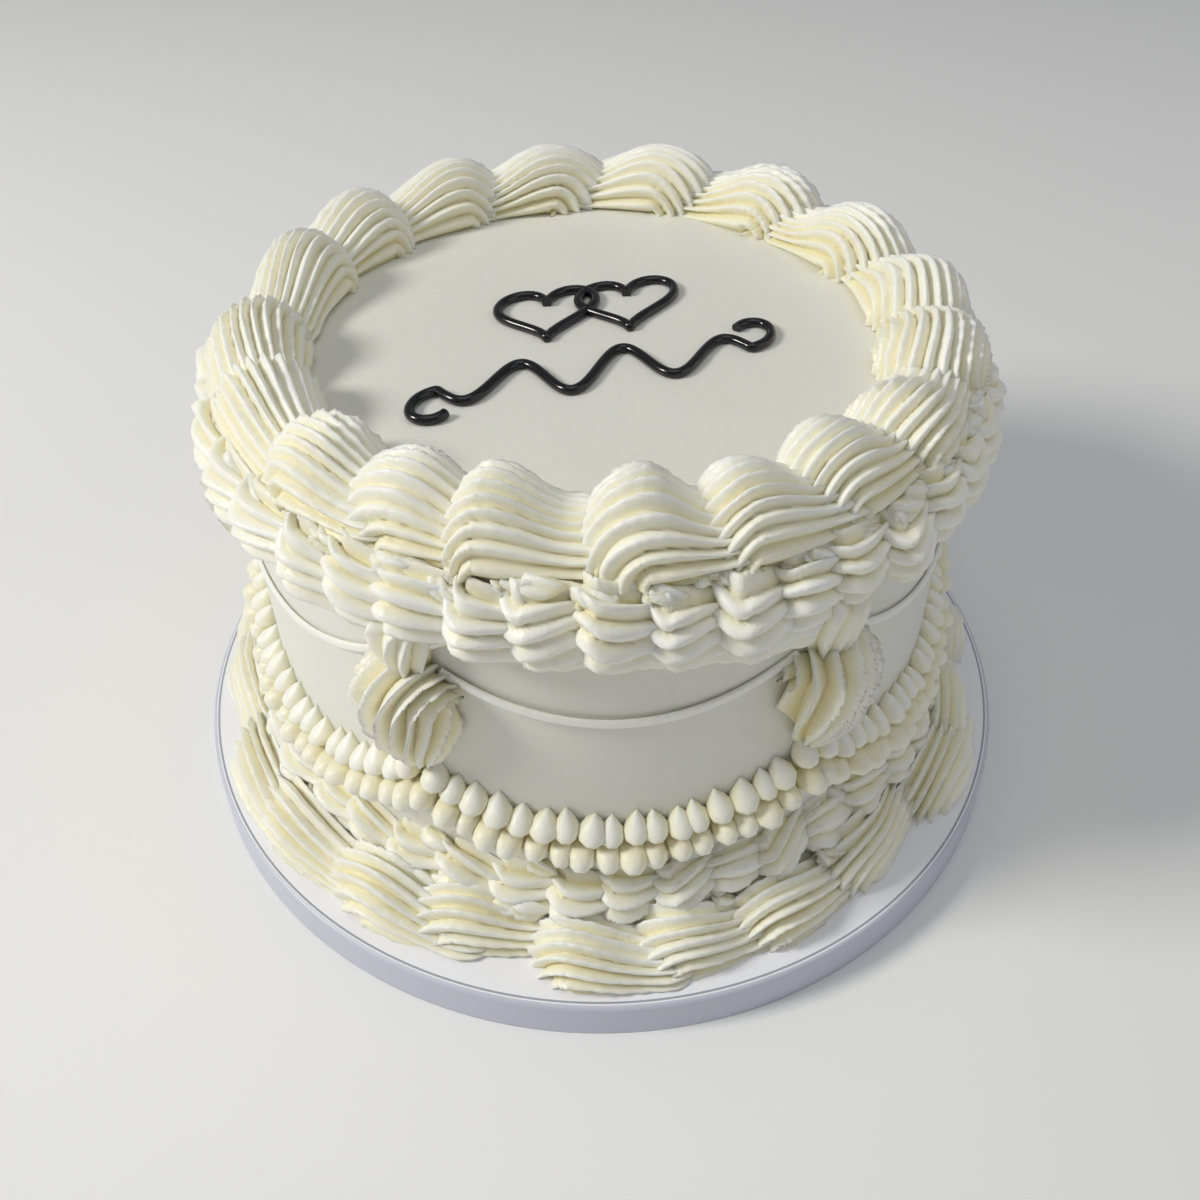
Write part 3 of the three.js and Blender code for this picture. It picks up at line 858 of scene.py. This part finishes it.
# %% Piping gel
def piping_gel(name):
    material = bpy.data.materials.new(name)
    material.use_nodes = True
    shader = material.node_tree.nodes["Principled BSDF"]
    shader.inputs["Base Color"].default_value = linear("#0c0c0f")
    shader.inputs["Roughness"].default_value = 0.22
    shader.inputs["IOR"].default_value = 1.42
    shader.inputs["Coat Weight"].default_value = 0.4
    shader.inputs["Coat Roughness"].default_value = 0.08
    return material


GEL_RADIUS = 1.4 * MM
GEL_SIDES = 14
GEL_LIES = 0.75
GEL_SLOPE = 0.2
HEART_STEPS = 60
SPIRAL_TURN = 3.9
SPIRAL_SHRINKS = 0.5
SPIRAL_POINTS = 30
WAVES = 3
WAVE_FADES = 0.35
WAVE_POINTS = 40
black_gel = piping_gel("black_piping_gel")


def on_top(x, y):
    return (x, y + GEL_SLOPE * x, CAKE_TOP + GEL_LIES * GEL_RADIUS)


def heart(x, y, size):
    line = []
    for k in range(HEART_STEPS + 1):
        t = math.tau * k / HEART_STEPS
        across = math.sin(t) ** 3
        up = (13 * math.cos(t) - 5 * math.cos(2 * t) - 2 * math.cos(3 * t) - math.cos(4 * t)) / 16
        line.append(on_top(x + size * across, y + size * up))
    return line


def scroll(start, end, y, wave, curl):
    middle = (start + end) / 2
    half = (end - start) / 2
    line = []
    for side in (-1, 1):
        part = []
        for turn in np.linspace(SPIRAL_TURN, 0, SPIRAL_POINTS):
            reach = curl * (1 - SPIRAL_SHRINKS * turn / SPIRAL_TURN)
            part.append(on_top(middle + side * (half - curl + reach * math.sin(turn)),
                               y + side * (curl - reach * math.cos(turn))))
        for share in np.linspace(1, 0, WAVE_POINTS)[1:]:
            swing = wave * (1 - WAVE_FADES * share)
            part.append(on_top(middle + side * share * (half - curl),
                               y + swing * math.sin(WAVES * math.pi * side * share)))
        line = part if side == -1 else line + part[::-1][1:]
    return line


round_section = [(GEL_RADIUS * math.cos(turn), GEL_RADIUS * math.sin(turn), 0)
                 for turn in (math.tau * k / GEL_SIDES for k in range(GEL_SIDES))]
drawings = {
    "gel_hearts": [heart(-13 * MM, 15 * MM, 14 * MM), heart(10 * MM, 15 * MM, 14 * MM)],
    "gel_scroll": [scroll(-49 * MM, 50 * MM, -18.5 * MM, 9 * MM, 8 * MM)],
}
for name, lines in drawings.items():
    section = line_guide("round_section", [round_section], closed=True)
    bpy.context.scene.collection.objects.link(section)
    flourish = realise(name + "_line", line_guide(name + "_guide", lines), sweep,
                       {"Section": section, "Length of a step": 0.8 * MM, "Material": black_gel})
    bpy.data.objects.remove(section)
    finish_piece(outward(flourish), black_gel, [name])

# %% [markdown]
# ## Floor, light and camera
# The cake was photographed from above at about 38 degrees with a short lens. A soft lamp on the left lays
# shadows across the top and models the ridges. Two larger ones fill from the right and from above, and a pale
# floor and world close the scene.

# %% The floor and the lights
FLOOR_REACH = 6
LIT_POINT = Vector((0, 0, 80 * MM))


def plain_paint(name, code):
    material = bpy.data.materials.new(name)
    material.use_nodes = True
    shader = material.node_tree.nodes["Principled BSDF"]
    shader.inputs["Base Color"].default_value = linear(code)
    shader.inputs["Roughness"].default_value = 0.8
    return material


corners = [(x * FLOOR_REACH, y * FLOOR_REACH, 0) for x, y in ((-1, -1), (1, -1), (1, 1), (-1, 1))]
floor_mesh = bpy.data.meshes.new("floor")
floor_mesh.from_pydata(corners, [], [(0, 1, 2, 3)])
floor_mesh.materials.append(plain_paint("pale_floor", "#f4f4f2"))
floor = bpy.data.objects.new("floor", floor_mesh)
bpy.context.scene.collection.objects.link(floor)


def soft_light(name, place, size, power, tint):
    lamp = bpy.data.lights.new(name, "AREA")
    lamp.shape = "DISK"
    lamp.size = size
    lamp.energy = power
    lamp.color = linear(tint)[:3]
    holder = bpy.data.objects.new(name, lamp)
    holder.location = place
    holder.rotation_euler = (LIT_POINT - Vector(place)).to_track_quat("-Z", "Y").to_euler()
    bpy.context.scene.collection.objects.link(holder)


soft_light("key", (-1.34, -0.3, 1.16), 0.5, 18.6, "#fffdf8")
soft_light("fill", (1.4, -0.4, 0.9), 1.2, 2.2, "#f2f5ff")
soft_light("overhead", (0.1, -0.1, 1.7), 1.4, 4.5, "#f6f7fb")
world = bpy.data.worlds.new("studio")
world.use_nodes = True
world.node_tree.nodes["Background"].inputs["Color"].default_value = linear("#eef0f4")
world.node_tree.nodes["Background"].inputs["Strength"].default_value = 0.25
bpy.context.scene.world = world
bpy.context.scene.view_settings.view_transform = "Standard"

# %% The camera
ELEVATION = math.radians(37.7)
ROLL = math.radians(-1.55)
DISTANCE = 360 * MM
TARGET = Vector((-5.3 * MM, 0, 86 * MM))
back = Vector((0, -math.cos(ELEVATION), math.sin(ELEVATION)))
rise = Vector((0, math.sin(ELEVATION), math.cos(ELEVATION)))
right = math.cos(ROLL) * Vector((1, 0, 0)) + math.sin(ROLL) * rise
up = math.cos(ROLL) * rise - math.sin(ROLL) * Vector((1, 0, 0))
lens = bpy.data.cameras.new("camera")
lens.sensor_width = 36
lens.lens = 36
lens.shift_x = 0.018
lens.shift_y = -0.105
lens.clip_start = 0.01
camera = bpy.data.objects.new("camera", lens)
place = TARGET + DISTANCE * back
camera.matrix_world = Matrix((right, up, back)).transposed().to_4x4()
camera.location = place
bpy.context.scene.collection.objects.link(camera)
bpy.context.scene.camera = camera
print("camera at", [round(v / MM) for v in place], "mm")
